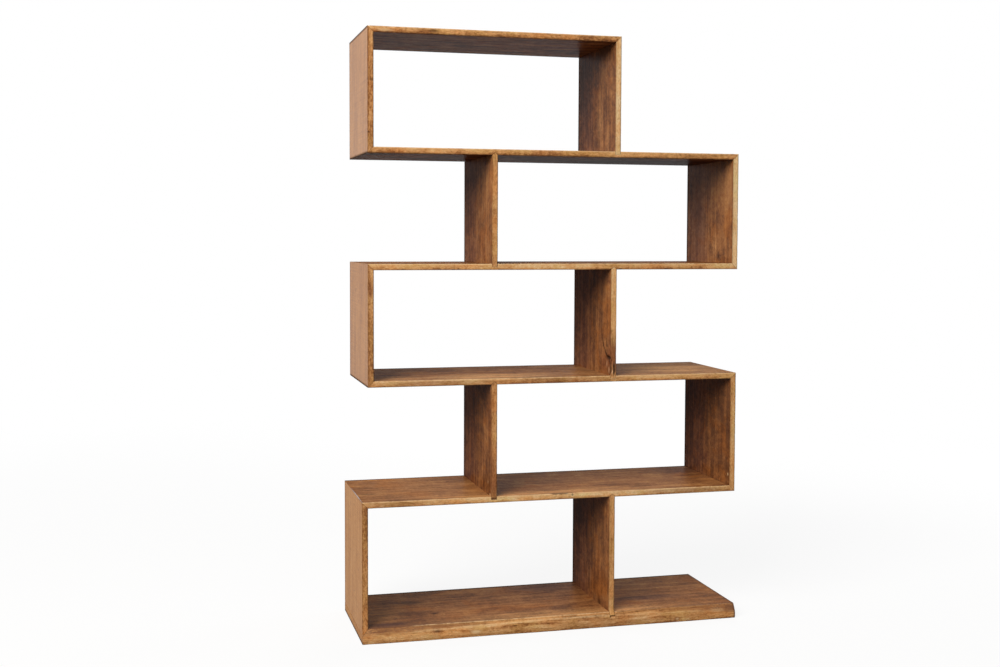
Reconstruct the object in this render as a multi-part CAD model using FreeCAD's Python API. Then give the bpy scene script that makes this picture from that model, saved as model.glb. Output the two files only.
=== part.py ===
import FreeCAD, Part
import os

# Zigzag bookshelf. One run of boards, mitred end to end, climbs from the base plank to the top
# board and turns upward at the left and the right side by turns. Dividers stand between the runs,
# with a square foot let into the board below and a pointed head in a V-shaped housing above.
# Hidden loose tongues strengthen every glued joint.
# Millimetres. X runs along the shelves, Y from front to back, Z up.
# The origin is on the floor, in the middle of the overall width and depth.

# Driving dimensions of the carcass
board = 18.0  # thickness of every board except the base plank
depth = 366.0  # front edge to back edge of the boards
shelf_length = 1160.0  # outer face to outer face of the boxes above the bottom one
bottom_box_step = 18.0  # how far the bottom box stands out to the left of the boxes above
top_length = 773.0  # the top board ends about two thirds of the way along
third_place = 371.0  # left face of dividers 2 and 4, from the left face of the upper boxes
two_thirds_place = 745.0  # left face of dividers 1 and 3, from the same face
clear_height_1 = 356.0  # free height of each level, counted from the floor
clear_height_2 = 337.0
clear_height_3 = 324.0
clear_height_4 = 321.0
clear_height_5 = 328.0
foot_depth = 9.0  # how deep an upright's square foot is let into the board below it
edge_round = 1.6  # radius of the eased long edges

# Driving dimensions of the base plank
base_thickness = 44.0
wane_reach = 16.0  # how far the natural front edge stands out in front of the boards

# Driving dimensions of the loose tongues, all cut from one strip
tongue_thickness = 4.0
tongue_width = 15.0
tongue_setback = 30.0  # bare length of a joint in front of its tongue, and behind it
groove_side_gap = 0.1  # glue gap on each face of a tongue
groove_end_gap = 0.5  # room past each edge and end of a tongue
corner_tongue_share = 0.36  # place of a tongue along its mitre, from the inner corner
housing_tongue_share = 0.5  # how much of the wood behind a housing its groove takes

# Natural edge of the base plank: places along its length, and there the reach of its upper edge,
# of its belly and of its lower edge, as shares of wane_reach. The belly sits low on the edge.
wane_place_shares = (0.0, 0.15, 0.32, 0.48, 0.66, 0.83, 1.0)
wane_top_shares = (0.12, 0.02, 0.10, 0.24, 0.16, 0.05, 0.03)
wane_belly_shares = (0.68, 0.83, 0.76, 0.90, 0.80, 0.91, 0.92)
wane_low_shares = (0.60, 0.78, 0.66, 0.82, 0.76, 0.88, 0.80)
belly_height_share = 0.32

overrun = 10.0  # how far cutting shapes run past what they cut

# Levels and lines worked out from the sizes above
right = (shelf_length + bottom_box_step) / 2
left = right - shelf_length
bottom_left = left - bottom_box_step
third = left + third_place
two_thirds = left + two_thirds_place
top_right = left + top_length
front = (wane_reach - depth) / 2
back = front + depth
level_1 = base_thickness
level_2 = level_1 + clear_height_1 + board
level_3 = level_2 + clear_height_2 + board
level_4 = level_3 + clear_height_3 + board
level_5 = level_4 + clear_height_4 + board
level_top = level_5 + clear_height_5 + board
half = board / 2  # depth of a V housing whose sides meet at a right angle
base_mitre = level_1 - board  # lower end of the mitre in the base plank

along_x = FreeCAD.Vector(1, 0, 0)
along_z = FreeCAD.Vector(0, 0, 1)
parallel_cosine = 0.5  # tells edges along an axis from edges across it


def prism(outline, start, end):
    """Solid with the given (x, z) outline, from y = start to y = end."""
    corners = [FreeCAD.Vector(x, start, z) for x, z in outline]
    face = Part.Face(Part.makePolygon(corners + corners[:1]))
    return face.extrude(FreeCAD.Vector(0, end - start, 0))


def eased_block(low, high, axis):
    """Block between two corners, with its edges along the axis rounded."""
    size = high - low
    block = Part.makeBox(size.x, size.y, size.z, low)
    long_edges = []
    for edge in block.Edges:
        cosine = edge.tangentAt(edge.FirstParameter).dot(axis)
        if abs(cosine) > parallel_cosine:
            long_edges.append(edge)
    return block.makeFillet(edge_round, long_edges)


def board_from(outline, axis):
    """Board that fills an (x, z) outline over the full depth, with eased edges along the axis."""
    xs = [x for x, z in outline]
    zs = [z for x, z in outline]
    low = FreeCAD.Vector(min(xs), front, min(zs))
    high = FreeCAD.Vector(max(xs), back, max(zs))
    return eased_block(low, high, axis).common(prism(outline, front, back))


def foot_housing(place, top):
    """Outline points of a square housing in an upper face, from right to left."""
    bottom = top - foot_depth
    return [(place + board, top), (place + board, bottom), (place, bottom), (place, top)]


def head_housing(place, bottom):
    """Outline points of a V housing in a lower face, from left to right."""
    return [(place, bottom), (place + half, bottom + half), (place + board, bottom)]


def shelf(start, end, top, left_goes_up, right_goes_up, over=None, under=None):
    """Shelf with mitred ends. Each end turns up or down into a side panel."""
    bottom = top - board
    left_step = board if left_goes_up else 0
    right_step = board if right_goes_up else 0
    outline = [(start + board - left_step, bottom)]
    if under is not None:
        outline += head_housing(under, bottom)
    outline += [(end - board + right_step, bottom), (end - right_step, top)]
    if over is not None:
        outline += foot_housing(over, top)
    outline += [(start + left_step, top)]
    return board_from(outline, along_x)


def side_panel(outer, inner, lower_top, upper_top):
    """Side panel between two mitres: its outer face is longer than its inner face."""
    outline = [(outer, lower_top - board), (inner, lower_top)]
    outline += [(inner, upper_top - board), (outer, upper_top)]
    return board_from(outline, along_z)


def divider(place, lower_top, upper_bottom):
    """Upright with a square foot and a pointed head."""
    foot = lower_top - foot_depth
    outline = [(place, foot), (place + board, foot)]
    outline += [(place + board, upper_bottom), (place + half, upper_bottom + half), (place, upper_bottom)]
    return board_from(outline, along_z)


def ending_panel():
    """Right side of the top box: square foot in shelf 5, mitred head at the top board."""
    inner = top_right - board
    foot = level_5 - foot_depth
    outline = [(inner, foot), (top_right, foot), (top_right, level_top), (inner, level_top - board)]
    return board_from(outline, along_z)


def wane_cutter():
    """What is taken off the front of the base plank to leave its natural edge."""
    belly_height = belly_height_share * base_thickness
    far = front - wane_reach - overrun
    sections = []
    span = right - bottom_left + overrun + overrun
    stations = zip(wane_place_shares, wane_top_shares, wane_belly_shares, wane_low_shares)
    for place, top, belly, low in stations:
        x = bottom_left - overrun + place * span
        upper = FreeCAD.Vector(x, front - top * wane_reach, base_thickness)
        middle = FreeCAD.Vector(x, front - belly * wane_reach, belly_height)
        lower = FreeCAD.Vector(x, front - low * wane_reach, 0)
        roof = upper + FreeCAD.Vector(0, 0, overrun)
        cellar = lower - FreeCAD.Vector(0, 0, overrun)
        far_roof = FreeCAD.Vector(x, far, roof.z)
        far_cellar = FreeCAD.Vector(x, far, cellar.z)
        edge = Part.Arc(upper, middle, lower).toShape()
        rest = Part.makePolygon([lower, cellar, far_cellar, far_roof, roof, upper])
        sections.append(Part.Wire([edge] + rest.Edges))
    return Part.makeLoft(sections, True, False)


def base_plank():
    """Thick plank with a natural front edge, a mitred upper left corner and a housing for divider 1."""
    outline = [(bottom_left, 0), (right, 0), (right, level_1)]
    outline += foot_housing(two_thirds, level_1)
    outline += [(bottom_left + board, level_1), (bottom_left, base_mitre)]
    front_most = front - wane_reach - overrun
    low = FreeCAD.Vector(bottom_left, front_most, 0)
    high = FreeCAD.Vector(right, back, base_thickness)
    block = eased_block(low, high, along_x)
    return block.common(prism(outline, front_most, back)).cut(wane_cutter())


def strip(centre, across, side_gap, end_gap):
    """Tongue or groove: a strip about a centre line, wide along the given (x, z) direction."""
    reach = across * (tongue_width / 2 + end_gap)
    thick = FreeCAD.Vector(-across.z, 0, across.x) * (tongue_thickness / 2 + side_gap)
    corners = [centre + reach + thick, centre - reach + thick]
    corners += [centre - reach - thick, centre + reach - thick]
    outline = [(c.x, c.z) for c in corners]
    start = front + tongue_setback - end_gap
    end = back - tongue_setback + end_gap
    return prism(outline, start, end)


def corner_joint(inner, outer):
    """Centre and direction of the tongue in a mitre, from its inner and outer (x, z) corners."""
    start = FreeCAD.Vector(inner[0], 0, inner[1])
    run = FreeCAD.Vector(outer[0], 0, outer[1]) - start
    across = FreeCAD.Vector(-run.z, 0, run.x).normalize()
    return start + run * corner_tongue_share, across


def housing_joint(place, face, down):
    """Centre and direction of the tongue under a foot, in an upper face, or over a head."""
    toward_shelf = FreeCAD.Vector(0, 0, -1) if down else along_z
    housed = foot_depth if down else half
    housing_end = FreeCAD.Vector(place + half, 0, face) + toward_shelf * housed
    shelf_part = (board - housed) * housing_tongue_share
    return housing_end + toward_shelf * (shelf_part - tongue_width / 2), along_z


def left_corner(outer, face, step):
    """Mitre at a left side; step is minus board under the face and plus board over it."""
    return corner_joint((outer + board, face + step), (outer, face))


def right_corner(outer, face, step):
    """Mitre at a right side."""
    return corner_joint((outer - board, face + step), (outer, face))


boards = {
    "base_plank": base_plank(),
    "shelf_2": shelf(bottom_left, right, level_2, False, True, over=third, under=two_thirds),
    "shelf_3": shelf(left, right, level_3, True, False, over=two_thirds, under=third),
    "shelf_4": shelf(left, right, level_4, False, True, over=third, under=two_thirds),
    "shelf_5": shelf(left, right, level_5, True, False, over=top_right - board, under=third),
    "top_board": shelf(left, top_right, level_top, False, False),
    "left_panel_1": side_panel(bottom_left, bottom_left + board, level_1, level_2),
    "right_panel_2": side_panel(right, right - board, level_2, level_3),
    "left_panel_3": side_panel(left, left + board, level_3, level_4),
    "right_panel_4": side_panel(right, right - board, level_4, level_5),
    "left_panel_5": side_panel(left, left + board, level_5, level_top),
    "right_panel_5": ending_panel(),
    "divider_1": divider(two_thirds, level_1, level_2 - board),
    "divider_2": divider(third, level_2, level_3 - board),
    "divider_3": divider(two_thirds, level_3, level_4 - board),
    "divider_4": divider(third, level_4, level_5 - board),
}

# Each joint: its tongue's name, the tongue's centre and direction, and the two boards it holds
joints = [
    ("corner_tongue_base_left", left_corner(bottom_left, base_mitre, board), "base_plank", "left_panel_1"),
    ("corner_tongue_2_left", left_corner(bottom_left, level_2, -board), "left_panel_1", "shelf_2"),
    ("corner_tongue_2_right", right_corner(right, level_2 - board, board), "shelf_2", "right_panel_2"),
    ("corner_tongue_3_right", right_corner(right, level_3, -board), "right_panel_2", "shelf_3"),
    ("corner_tongue_3_left", left_corner(left, level_3 - board, board), "shelf_3", "left_panel_3"),
    ("corner_tongue_4_left", left_corner(left, level_4, -board), "left_panel_3", "shelf_4"),
    ("corner_tongue_4_right", right_corner(right, level_4 - board, board), "shelf_4", "right_panel_4"),
    ("corner_tongue_5_right", right_corner(right, level_5, -board), "right_panel_4", "shelf_5"),
    ("corner_tongue_5_left", left_corner(left, level_5 - board, board), "shelf_5", "left_panel_5"),
    ("corner_tongue_top_left", left_corner(left, level_top, -board), "left_panel_5", "top_board"),
    ("corner_tongue_top_right", right_corner(top_right, level_top, -board), "top_board", "right_panel_5"),
    ("housing_tongue_base", housing_joint(two_thirds, level_1, True), "base_plank", "divider_1"),
    ("housing_tongue_2_under", housing_joint(two_thirds, level_2 - board, False), "divider_1", "shelf_2"),
    ("housing_tongue_2_over", housing_joint(third, level_2, True), "shelf_2", "divider_2"),
    ("housing_tongue_3_under", housing_joint(third, level_3 - board, False), "divider_2", "shelf_3"),
    ("housing_tongue_3_over", housing_joint(two_thirds, level_3, True), "shelf_3", "divider_3"),
    ("housing_tongue_4_under", housing_joint(two_thirds, level_4 - board, False), "divider_3", "shelf_4"),
    ("housing_tongue_4_over", housing_joint(third, level_4, True), "shelf_4", "divider_4"),
    ("housing_tongue_5_under", housing_joint(third, level_5 - board, False), "divider_4", "shelf_5"),
    ("housing_tongue_5_over", housing_joint(top_right - board, level_5, True), "shelf_5", "right_panel_5"),
]

tongues = {}
for name, (centre, across), first, second in joints:
    tongues[name] = strip(centre, across, 0, 0)
    groove = strip(centre, across, groove_side_gap, groove_end_gap)
    boards[first] = boards[first].cut(groove)
    boards[second] = boards[second].cut(groove)

os.makedirs("parts", exist_ok=True)
for name, shape in {**boards, **tongues}.items():
    solid = shape.Solids[0]
    print(f"{name}: {len(shape.Solids)} solid, {solid.Volume:.0f} mm3, valid {solid.isValid()}")
    solid.exportStep(f"parts/{name}.step")
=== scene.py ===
import math
import random

import bmesh
import bpy
from mathutils import Matrix, Vector, noise


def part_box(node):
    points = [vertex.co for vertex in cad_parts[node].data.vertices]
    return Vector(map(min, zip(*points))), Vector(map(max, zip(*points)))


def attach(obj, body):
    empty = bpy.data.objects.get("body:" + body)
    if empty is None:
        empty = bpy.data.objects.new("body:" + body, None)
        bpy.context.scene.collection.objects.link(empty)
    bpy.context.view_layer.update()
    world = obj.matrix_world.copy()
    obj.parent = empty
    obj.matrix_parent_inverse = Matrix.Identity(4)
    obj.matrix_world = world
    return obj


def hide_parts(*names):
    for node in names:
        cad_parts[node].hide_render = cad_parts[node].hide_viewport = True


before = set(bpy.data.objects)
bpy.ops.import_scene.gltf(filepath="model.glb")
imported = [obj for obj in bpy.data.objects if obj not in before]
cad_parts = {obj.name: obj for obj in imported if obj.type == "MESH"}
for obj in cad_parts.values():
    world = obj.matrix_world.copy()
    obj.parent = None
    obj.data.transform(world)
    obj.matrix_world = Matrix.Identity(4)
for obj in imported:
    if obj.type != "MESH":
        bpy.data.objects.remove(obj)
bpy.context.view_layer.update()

# Zigzag bookshelf in oiled brown hardwood, on a pale floor. Metres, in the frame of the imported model:
# X along the shelves, Y from front to back, Z up. Each board is swept along its grain, with mitred,
# pointed or square ends, uneven eased edges and the chips and knots of solid wood.

mm = 0.001


# Sizes read from the frame

panel_low, panel_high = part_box("left_panel_1")
shelf_low, shelf_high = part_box("shelf_2")
board = panel_high.x - panel_low.x
front = shelf_low.y
back = shelf_high.y
depth = back - front
half = board / 2
base_low, base_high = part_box("base_plank")
base_thickness = base_high.z - base_low.z
wane_reach = front - base_low.y


# Sizes of the finish

edge_round = 1.6 * mm
least_round_share = 0.6
edge_wander = 0.7 * mm
wander_band = 10 * edge_round
wander_length = 0.16
drift_steps = (7.31, 3.17)
dip_seed = 20
corner_steps = 4
wear_band = 4 * mm
joint_band = 2 * mm
station_step = 12 * mm
station_apart = 0.6 * mm
housing_wall = 0.05 * mm
face_step_shares = (0.06, 0.16, 0.28, 0.40, 0.52, 0.64, 0.76, 0.88, 0.95)
edge_level_shares = (0.22, 0.36, 0.5, 0.64, 0.78)
smooth_angle = math.radians(38)
chip_count = 9
chip_lengths = (8 * mm, 18 * mm)
chip_sizes = (0.5 * mm, 1.8 * mm)


# Boards. An end is "low" or "high" for a mitre that is longest at the lower (left) or upper (right)
# face, "point" for a V-shaped end, "heel" for the base plank's mitred upper corner, or "square".

boards = {
    "base_plank": {"along": "x", "ends": ("heel", "square"), "over": "divider_1"},
    "shelf_2": {"along": "x", "ends": ("high", "low"), "over": "divider_2", "under": "divider_1"},
    "shelf_3": {"along": "x", "ends": ("low", "high"), "over": "divider_3", "under": "divider_2"},
    "shelf_4": {"along": "x", "ends": ("high", "low"), "over": "divider_4", "under": "divider_3"},
    "shelf_5": {"along": "x", "ends": ("low", "high"), "over": "right_panel_5", "under": "divider_4"},
    "top_board": {"along": "x", "ends": ("high", "high")},
}
uprights = {
    ("low", "low"): ("left_panel_1", "left_panel_3", "left_panel_5"),
    ("high", "high"): ("right_panel_2", "right_panel_4"),
    ("square", "high"): ("right_panel_5",),
    ("square", "point"): ("divider_1", "divider_2", "divider_3", "divider_4"),
}
for ends, names in uprights.items():
    for name in names:
        boards[name] = {"along": "z", "ends": ends}


def colour(red, green, blue):
    """Linear colour of an 8-bit screen colour."""
    shares = (red / 255, green / 255, blue / 255)
    linear = [s / 12.92 if s <= 0.04045 else ((s + 0.055) / 1.055) ** 2.4 for s in shares]
    return (*linear, 1.0)


def stops(*rows):
    """Stops of a colour ramp from (place, red, green, blue) rows."""
    return [(place, colour(*tone)) for place, *tone in rows]


def smooth(value):
    """Smooth step from 0 to 1."""
    value = min(1.0, max(0.0, value))
    return value * value * (3 - 2 * value)


def drift(along, seed, length=wander_length):
    """Slow wander from -1 to 1 along a board."""
    return noise.noise(Vector((along / length, seed * drift_steps[0], seed * drift_steps[1])))


def spread(first, last, count):
    """Evenly spaced numbers, both ends included."""
    return [first + (last - first) * i / count for i in range(count + 1)]


# Mesh of a board

def inset(cut, through, thick):
    """How far a board's end lies inside its box at a place through its thickness."""
    if cut == "low":
        return through
    if cut == "high":
        return thick - through
    if cut == "point":
        return abs(through - thick / 2)
    if cut == "heel":
        return max(0.0, through - (thick - board))
    return 0.0


def quarter(centre_t, centre_d, radius, first_t, first_d, last_t, last_d):
    """Points of a rounded corner, from the first direction to the last."""
    points = []
    for step in range(corner_steps + 1):
        angle = math.pi / 2 * step / corner_steps
        first, last = math.cos(angle), math.sin(angle)
        through = centre_t + radius * (first * first_t + last * last_t)
        deep = centre_d + radius * (first * first_d + last * last_d)
        points.append((through, deep))
    return points


def ring(thick, radii, levels, places, pale_front):
    """Cross-section of a board: (through, deep, arris) points from the lower front corner round.

    The arris value is 1 on an upper front arris that is paler, partly from wear and partly as a painted
    highlight, and -1 on the darker ones."""
    low_front, high_front, high_back, low_back = radii
    corners = (
        (quarter(thick - high_front, high_front, high_front, 0, -1, 1, 0), pale_front),
        (quarter(thick - high_back, depth - high_back, high_back, 1, 0, 0, 1), -1.0),
        (quarter(low_back, depth - low_back, low_back, 0, 1, -1, 0), -1.0),
        (quarter(low_front, low_front, low_front, -1, 0, 0, -1), -1.0),
    )
    runs = (
        [(thick, place) for place in places],
        [(level, depth) for level in reversed(levels)],
        [(0.0, place) for place in reversed(places)],
        [],
    )
    points = [(level, 0.0, 0.0) for level in levels]
    for (corner, arris), run in zip(corners, runs):
        points += [(through, deep, arris) for through, deep in corner]
        points += [(through, deep, 0.0) for through, deep in run]
    return points


def stations_of(start, end, spec, thick):
    """Places along a board where it gets a flat cross-section."""
    reach = {"low": thick, "high": thick, "point": thick / 2, "heel": board, "square": 0.0}
    clear = joint_band + mm
    first = start + reach[spec["ends"][0]] + clear
    last = end - reach[spec["ends"][1]] - clear
    places = spread(first, last, math.ceil((last - first) / spec.get("step", station_step)))
    kept = []
    if "over" in spec:
        low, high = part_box(spec["over"])
        kept += [low.x - housing_wall, low.x, high.x, high.x + housing_wall]
    if "under" in spec:
        low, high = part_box(spec["under"])
        kept += [low.x, (low.x + high.x) / 2, high.x]
    for low, high, step in spec.get("dense", ()):
        kept += spread(low, high, math.ceil((high - low) / step))
    places = [p for p in places if all(abs(p - k) > station_apart for k in kept)]
    return sorted(places + kept)


def head_housing(spec, along):
    """Depth of the V housing in a shelf's lower face at a place along it."""
    if "under" not in spec:
        return 0.0
    low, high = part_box(spec["under"])
    return max(0.0, half - abs(along - (low.x + high.x) / 2))


def foot_housing(spec, along, face):
    """Depth of the square housing in a board's upper face at a place along it."""
    if "over" not in spec:
        return 0.0
    low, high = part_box(spec["over"])
    return face - low.z if low.x <= along <= high.x else 0.0


# Ridge value of a point that lies on no ridge, not above any arris value
arris_free = -1.0


def plain_shape(along, through, deep):
    """Shape of a board with straight sides: through, deep, pit, bevel and ridge."""
    return through, deep, 0.0, 0.0, arris_free


def draw_chips(start, end, seed):
    """Small chips along the front arrises: (place, corner, length, size) rows."""
    draw = random.Random(seed)
    chips = []
    while len(chips) < chip_count:
        place = draw.uniform(start, end)
        corner = draw.choice((0, 1))
        length = draw.uniform(*chip_lengths)
        size = draw.uniform(*chip_sizes)
        chips.append((place, corner, length, size))
    return chips


def corner_radii(spec, seed, along):
    """Radii of the four long edges at a place along a board, with its chips."""
    radii = []
    for corner in range(4):
        share = least_round_share + (1 - least_round_share) * (1 + drift(along, seed + corner)) / 2
        radius = edge_round * share
        for at, at_corner, length, size in spec["chips"]:
            if corner == at_corner:
                radius += size * smooth(1 - abs(along - at) / length)
        radii.append(radius)
    return radii


def board_mesh(name, spec, seed):
    """Mesh of one board, with attributes for its arrises, joints, pits and bevels."""
    low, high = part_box(name)
    flat = spec["along"] == "x"
    start, end = (low.x, high.x) if flat else (low.z, high.z)
    thick = high.z - low.z if flat else high.x - low.x
    levels = [share * thick for share in spec.get("levels", edge_level_shares)]
    places = [wear_band] + [share * depth for share in face_step_shares] + [depth - wear_band]
    places = sorted(places + list(spec.get("places", ())))
    shape = spec.get("shape", plain_shape)
    usual_pale = 1.0 if flat else -1.0

    def section(along, end_cut=None, sign=0, shift=0.0):
        """One cross-section as rows of corner, arris, pit and bevel, flat or along an end's cut."""
        points = []
        cut_low = head_housing(spec, along) if end_cut is None else 0.0
        cut_high = foot_housing(spec, along, high.z) if end_cut is None else 0.0
        dip = edge_wander * (1 + drift(along, seed + dip_seed)) / 2
        radii = corner_radii(spec, seed, along)
        pale = spec["pale"](along) if "pale" in spec else usual_pale
        for through, deep, arris in ring(thick, radii, levels, places, pale):
            place = along
            if end_cut:
                place = along + sign * (inset(end_cut, through, thick) + shift)
            edge_deep = deep + dip * smooth(1 - deep / wander_band)
            edge_through, edge_deep, pit, bevel, ridge = shape(place, through, edge_deep)
            raised = cut_low + edge_through * (thick - cut_low - cut_high) / thick
            if flat:
                corner = (place, front + edge_deep, low.z + raised)
            else:
                corner = (low.x + raised, front + edge_deep, place)
            points.append((corner, max(arris, ridge), pit, bevel))
        return points

    first_cut, last_cut = spec["ends"]
    sections = [section(start, first_cut, 1), section(start, first_cut, 1, joint_band)]
    sections += [section(place) for place in stations_of(start, end, spec, thick)]
    sections += [section(end, last_cut, -1, joint_band), section(end, last_cut, -1)]

    count = len(sections[0])
    corners, arrises, pits, bevels = zip(*(point for points in sections for point in points))
    seams = [0.0] * len(corners)
    faces = []
    for i in range(len(sections) - 1):
        for j in range(count):
            k = (j + 1) % count
            faces.append((i * count + j, (i + 1) * count + j, (i + 1) * count + k, i * count + k))
    for index, cut in ((0, first_cut), (len(sections) - 1, last_cut)):
        base = index * count
        seams[base:base + count] = [1.0] * count
        faces += cap_faces(base, count, cut, len(levels))

    mesh = bpy.data.meshes.new(name + "_wood")
    mesh.from_pydata(corners, [], faces)
    for value_name, values in (("arris", arrises), ("seam", seams), ("pit", pits), ("bevel", bevels)):
        mesh.attributes.new(value_name, "FLOAT", "POINT").data.foreach_set("value", values)
    shell = bmesh.new()
    shell.from_mesh(mesh)
    bmesh.ops.recalc_face_normals(shell, faces=shell.faces)
    shell.to_mesh(mesh)
    shell.free()
    mesh.shade_smooth()
    mesh.set_sharp_from_angle(angle=smooth_angle)
    return mesh


def cap_faces(base, count, cut, level_count):
    """Faces that close an end: one, or two that meet at the ridge of a point or near that of a heel."""
    if cut in ("low", "high", "square"):
        return [tuple(base + j for j in range(count))]
    split = level_count // 2
    side = (count - 2 * level_count) // 2
    back_split = level_count + side + (level_count - 1 - split)
    upper = list(range(split, back_split + 1))
    lower = list(range(back_split, count)) + list(range(split + 1))
    return [tuple(base + j for j in upper), tuple(base + j for j in lower)]


# Natural edge of the base plank, as (place along the plank, height of the bevel, reach of the upper
# edge, of the bevel's foot and of the lower edge). The places and reaches are shares of the whole.

wane_stations = (
    (0.00, 17 * mm, 0.10, 0.62, 0.60),
    (0.14, 15 * mm, 0.03, 0.74, 0.76),
    (0.32, 11 * mm, 0.10, 0.66, 0.68),
    (0.48, 7 * mm, 0.24, 0.72, 0.84),
    (0.66, 9 * mm, 0.16, 0.70, 0.78),
    (0.84, 13 * mm, 0.05, 0.80, 0.90),
    (1.00, 21 * mm, 0.03, 0.90, 0.84),
)
wane_levels = (0.03, 0.97, 14)
wane_step = 9 * mm
wane_fade = 30 * mm
wane_middle = 0.06
most_reach_share = 0.985
bevel_wander = 1.6 * mm
bevel_wander_length = 0.05
bevel_seed = 41
bevel_curve = 0.8
bulge_share = 0.14
wave_share = 0.05
wave_length = 0.035
wave_height = 6 * mm
wave_seed = 43
bark_foot = 1.5
bark_start = 0.15
bark_fade = 0.3
ridge_half = 3.4 * mm
least_ridge = 0.1
pale_start = -0.46
pale_end = 0.16
pale_fade = 0.06
pale_loss = 0.8
foot_fade = 60 * mm
foot_step = 8 * mm
slot_fade = 8 * mm
slot_stations = (base_high.z - 5 * mm, base_high.z + slot_fade, 1.5 * mm)


def wane_at(along):
    """Bevel height and the three reaches at a place along the plank."""
    share = (along - base_low.x) / (base_high.x - base_low.x)
    share = min(1.0, max(0.0, share))
    for before, after in zip(wane_stations, wane_stations[1:]):
        if share <= after[0]:
            mix = smooth((share - before[0]) / (after[0] - before[0]))
            return [a + (b - a) * mix for a, b in zip(before[1:], after[1:])]


def base_pale(along):
    """Arris value of the plank's upper front edge: pale along its middle, partly from wear and partly as a
    painted highlight, little at its right.
    """
    rise = smooth((along - pale_start) / pale_fade)
    return rise * (1 - pale_loss * smooth((along - pale_end) / pale_fade))


def wane_front(along, height):
    """How far the plank's front stands out at a place along it and a height, its bark and its ridge."""
    bevel, upper, foot, lower = wane_at(along)
    bevel += bevel_wander * drift(along, bevel_seed, bevel_wander_length)
    below = (base_thickness - height) / bevel
    if below < 1:
        share = upper + (foot - upper) * below ** bevel_curve
    else:
        down = (below - 1) * bevel / (base_thickness - bevel)
        share = foot + (lower - foot) * down + bulge_share * math.sin(math.pi * down)
    share += wave_share * drift(along, wave_seed + height / wave_height, wave_length)
    # The ridge is a pale line along the bevel's foot: partly wear, partly a painted highlight on that
    # arris.
    ridge = smooth(1 - abs(below - 1) * bevel / ridge_half) * base_pale(along)
    from_middle = abs(along - wane_middle) / (base_high.x - base_low.x)
    barked = smooth(bark_foot - below) * smooth((from_middle - bark_start) / bark_fade)
    return wane_reach * min(most_reach_share, max(0.0, share)), barked, ridge


def base_shape(along, through, deep):
    """Moves the front of the base plank out to its natural edge."""
    fade = smooth(1 - deep / wane_fade)
    if fade == 0.0:
        return plain_shape(along, through, deep)
    reach, bevel, ridge = wane_front(along, through)
    if ridge * fade <= least_ridge:
        ridge = arris_free
    return through, deep - fade * reach, 0.0, fade * bevel, ridge


def flared(left, height):
    """Shape of an upright whose foot comes out to the plank's natural edge, fading over a height."""

    def shape(along, through, deep):
        fade = smooth(1 - deep / wane_fade) * smooth(1 - (along - base_high.z) / height)
        if fade == 0.0:
            return plain_shape(along, through, deep)
        reach = wane_front(left + through, min(along, base_high.z))[0]
        return through, deep - fade * reach, 0.0, 0.0, arris_free

    return shape


boards["base_plank"].update(levels=spread(*wane_levels), step=wane_step, shape=base_shape, pale=base_pale)
boards["left_panel_1"].update(shape=flared(base_low.x, foot_fade), step=foot_step)
boards["divider_1"].update(shape=flared(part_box("divider_1")[0].x, slot_fade), dense=(slot_stations,))


# Knot at the foot of the third divider: a hole with cracks in its left face, and a torn front. A crack
# row has the depth and height of its start and of its end, a half width and the depth of its groove,
# in millimetres.

knot_hole_height = 0.826
knot_hole_deep = 28 * mm
knot_hole_size = (24 * mm, 7 * mm)
knot_hole_depth = 6 * mm
knot_hole_rim = 1.4
crack_rows = (
    (28, 826, 64, 857, 12, 3.2),
    (62, 852, 80, 896, 8, 1.6),
    (37, 856, 39, 884, 8, 2.4),
    (28, 826, -2, 802, 10, 1.8),
)
cracks = [[value * mm for value in row] for row in crack_rows]
crack_curve = 0.7
crack_rise = 6
crack_taper = 0.6
crack_pit = 1.3
torn_height = 0.793
torn_length = 30 * mm
torn_depth = 3.2 * mm
torn_gain = 1.3
torn_pit = 0.8
torn_pit_gain = 1.4
torn_pit_start = 0.1
splinter_start = 1.5 * mm
splinter_pitch = 12 * mm
splinter_sway = 3 * mm
sway_length = 14 * mm
sway_row = 3.0
knot_stations = (0.768, 0.905, 2 * mm)
knot_places = (5 * mm, 98 * mm, 31)
knot_levels = (0.12, 0.88, 8)


def crack_cut(deep, height, start_deep, start_height, end_deep, end_height, half_width):
    """How fully a place on the left face lies in a crack that tapers towards its end."""
    share = (height - start_height) / (end_height - start_height)
    if not 0 <= share <= 1:
        return 0.0
    middle_deep = start_deep + (end_deep - start_deep) * share ** crack_curve
    taper = smooth(crack_rise * share) * (1 - crack_taper * share)
    return smooth(1 - abs(deep - middle_deep) / half_width) * taper


def knot_shape(along, through, deep):
    """Sinks the knot hole, its cracks and the torn front into the third divider."""
    pit = 0.0
    if through < edge_round:
        away_deep = (deep - knot_hole_deep) / knot_hole_size[0]
        away_up = (along - knot_hole_height) / knot_hole_size[1]
        pit = smooth(knot_hole_rim - math.hypot(away_deep, away_up))
        sunk = knot_hole_depth * pit
        for *run, groove in cracks:
            crack = crack_cut(deep, along, *run)
            sunk = max(sunk, groove * crack)
            pit = max(pit, min(1.0, crack_pit * crack))
        through += sunk
    if deep < 2 * edge_round:
        near = smooth(torn_gain * (1 - abs(along - torn_height) / torn_length))
        sway = splinter_sway * noise.noise(Vector((along / sway_length, 0.0, sway_row)))
        rough = 0.5 + 0.5 * math.cos(2 * math.pi * (through + sway - splinter_start) / splinter_pitch)
        deep += torn_depth * near * rough
        pit = max(pit, torn_pit * near * smooth(torn_pit_gain * rough - torn_pit_start))
    return through, deep, pit, 0.0, arris_free


boards["divider_3"].update(
    dense=(knot_stations,),
    places=spread(*knot_places),
    levels=spread(*knot_levels),
    shape=knot_shape,
)


# Larger chips in the front arrises, as rows like those of draw_chips

boards["shelf_2"]["cuts"] = [(0.0566, 1, 9 * mm, 2.6 * mm)]
boards["shelf_4"]["cuts"] = [(0.199, 0, 10 * mm, 2.4 * mm)]


# Marks in the wood, and a few of painted light and shade: (kind, centre, half sizes, strength) rows, in
# millimetres

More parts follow.
